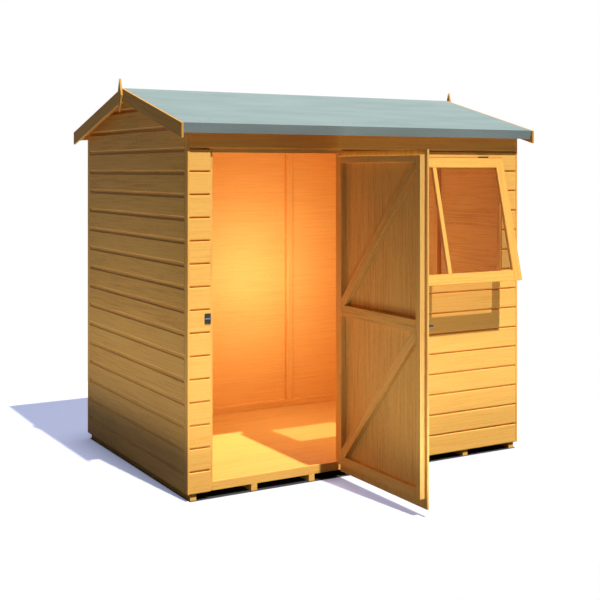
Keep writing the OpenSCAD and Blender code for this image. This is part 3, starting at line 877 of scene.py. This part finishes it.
def in_sight(tree):
    """One for the rays that show a surface: to the camera, in a reflection or through glass."""
    path = put(tree, "ShaderNodeLightPath", {})
    seen = put(tree, "ShaderNodeMath", {
        0: path.outputs["Is Camera Ray"], 1: path.outputs["Is Glossy Ray"]}, operation="MAXIMUM")
    seen = put(tree, "ShaderNodeMath", {
        0: seen.outputs[0], 1: path.outputs["Is Transmission Ray"]}, operation="MAXIMUM")
    return seen.outputs[0]


bpy.ops.object.select_all(action="DESELECT")
bpy.ops.mesh.primitive_plane_add(
    size=1, location=((floor_left + floor_right) / 2, (floor_front + floor_back) / 2, 0))
ground = bpy.context.object
ground.name = "studio_floor"
ground.scale = (floor_right - floor_left, floor_back - floor_front, 1)
bpy.ops.object.transform_apply(location=True, rotation=False, scale=True)
pale = bare_material("pale_studio_floor")
tree = pale.node_tree
where = put(tree, "ShaderNodeTexCoord", {}).outputs["Object"]
where = put(tree, "ShaderNodeVectorMath", {0: where}, operation="ABSOLUTE")
where = put(tree, "ShaderNodeSeparateXYZ", {0: where.outputs[0]})
# Painted shade: inside the shed's footprint the floor shows dark and gets no glow.
beside = put(tree, "ShaderNodeMath", {0: where.outputs["X"], 1: front_high[0]}, operation="GREATER_THAN")
before = put(tree, "ShaderNodeMath", {0: where.outputs["Y"], 1: -front_low[1]}, operation="GREATER_THAN")
clear = put(tree, "ShaderNodeMath", {0: beside.outputs[0], 1: before.outputs[0]}, operation="MAXIMUM")
painted_lift = put(tree, "ShaderNodeMath", {0: in_sight(tree), 1: clear.outputs[0]}, operation="MULTIPLY")
level = put(tree, "ShaderNodeMix", {0: painted_lift.outputs[0], 2: bounce_and_painted_shade_level, 3: lit_level})
# Painted contact shade: ambient occlusion fades the glow within 25 cm of the walls.
near = put(tree, "ShaderNodeAmbientOcclusion", {"Distance": painted_contact_shade_reach}, samples=8)
painted_lift = put(tree, "ShaderNodeMath", {0: painted_lift.outputs[0], 1: near.outputs["AO"]}, operation="MULTIPLY")
matt = put(tree, "ShaderNodeBsdfDiffuse", {"Color": level.outputs[0]})
# The cool glow is painted light: it lifts the sunlit floor to white and tints the cast shadows blue-grey.
glow = put(tree, "ShaderNodeEmission", {"Color": linear("#ADB6D8"), "Strength": painted_lift.outputs[0]})
both = put(tree, "ShaderNodeAddShader", {0: matt.outputs[0], 1: glow.outputs[0]})
put(tree, "ShaderNodeOutputMaterial", {"Surface": both.outputs[0]})
ground.data.materials.append(pale)

# Backdrop: plain white where it is seen, also past the floor's edges, and a faint even light on the object.
# Both are backgrounds of the world, chosen by the kind of ray.
fill_level = 0.02
world = bpy.data.worlds.new("studio")
bpy.context.scene.world = world
world.use_nodes = True
tree = world.node_tree
tree.nodes.clear()
fill = put(tree, "ShaderNodeBackground", {"Color": linear("#FFFFFF"), "Strength": fill_level})
white = put(tree, "ShaderNodeBackground", {"Color": linear("#FFFFFF"), "Strength": 1.0})
both = put(tree, "ShaderNodeMixShader", {0: in_sight(tree), 1: fill.outputs[0], 2: white.outputs[0]})
put(tree, "ShaderNodeOutputWorld", {"Surface": both.outputs[0]})

# Lights: a high key light from the front right, a soft lamp inside, and soft lamps low round the walls.
# The low lamps stand for the light that a wide pale floor would throw up; the camera doesn't see them.
key_line = (-0.051, 0.489, -0.850)
bpy.ops.object.light_add(type="SUN", location=(0.4, -3, 5))
key = bpy.context.object
key.name = "key_light"
key.data.energy = 5.0
key.data.angle = math.radians(0.8)
key.rotation_euler = Vector(key_line).to_track_quat("-Z", "Y").to_euler()

bpy.ops.object.light_add(type="POINT", location=(0.03, 0.12, 0.93))
inside = bpy.context.object
inside.name = "inside_light"
inside.data.energy = 16
inside.data.shadow_soft_size = 0.2
inside.visible_camera = False

upward = (math.pi, 0, 0)
rightward = (0, -math.pi / 2, 0)
for name, place, facing, sides, power, spread in (
        ("left_fill", (-1.69, -0.1, 0.03), upward, (0.3, 2.4), 10.0, 152),
        ("front_left_fill", (-0.9, -1.375, 0.03), upward, (0.5, 0.3), 3.5, 152),
        ("front_right_fill", (0.85, -1.375, 0.03), upward, (1.7, 0.3), 5.8, 152),
        ("right_fill", (1.69, 0.1, 0.03), upward, (0.3, 2.2), 8.0, 152),
        ("back_fill", (0.0, 1.4, 0.03), upward, (2.4, 0.3), 10.0, 152),
        ("door_edge_fill", (0.0, -1.95, 0.03), upward, (0.5, 0.3), 7.0, 180),
        ("door_fill", (-1.5, -1.25, 0.3), rightward, (0.4, 0.5), 0.6, 100)):
    bpy.ops.object.light_add(type="AREA", location=place, rotation=facing)
    soft = bpy.context.object
    soft.name = name
    soft.data.shape = "RECTANGLE"
    soft.data.size = sides[0]
    soft.data.size_y = sides[1]
    soft.data.energy = power
    soft.data.spread = math.radians(spread)
    soft.visible_camera = False

# Camera: level, at head height off the front left corner, with a long lens.
# A shift instead of a tilt keeps the upright edges upright.
eye = (-3.186, -5.518, 1.604)
view_line = (0.501, 0.8655, 0)
bpy.ops.object.camera_add(location=eye)
camera = bpy.context.object
camera.rotation_euler = Vector(view_line).to_track_quat("-Z", "Y").to_euler()
camera.data.sensor_width = 36
camera.data.lens = 64.99
camera.data.shift_y = -0.2165
bpy.context.scene.camera = camera
bpy.context.scene.view_settings.view_transform = "Standard"
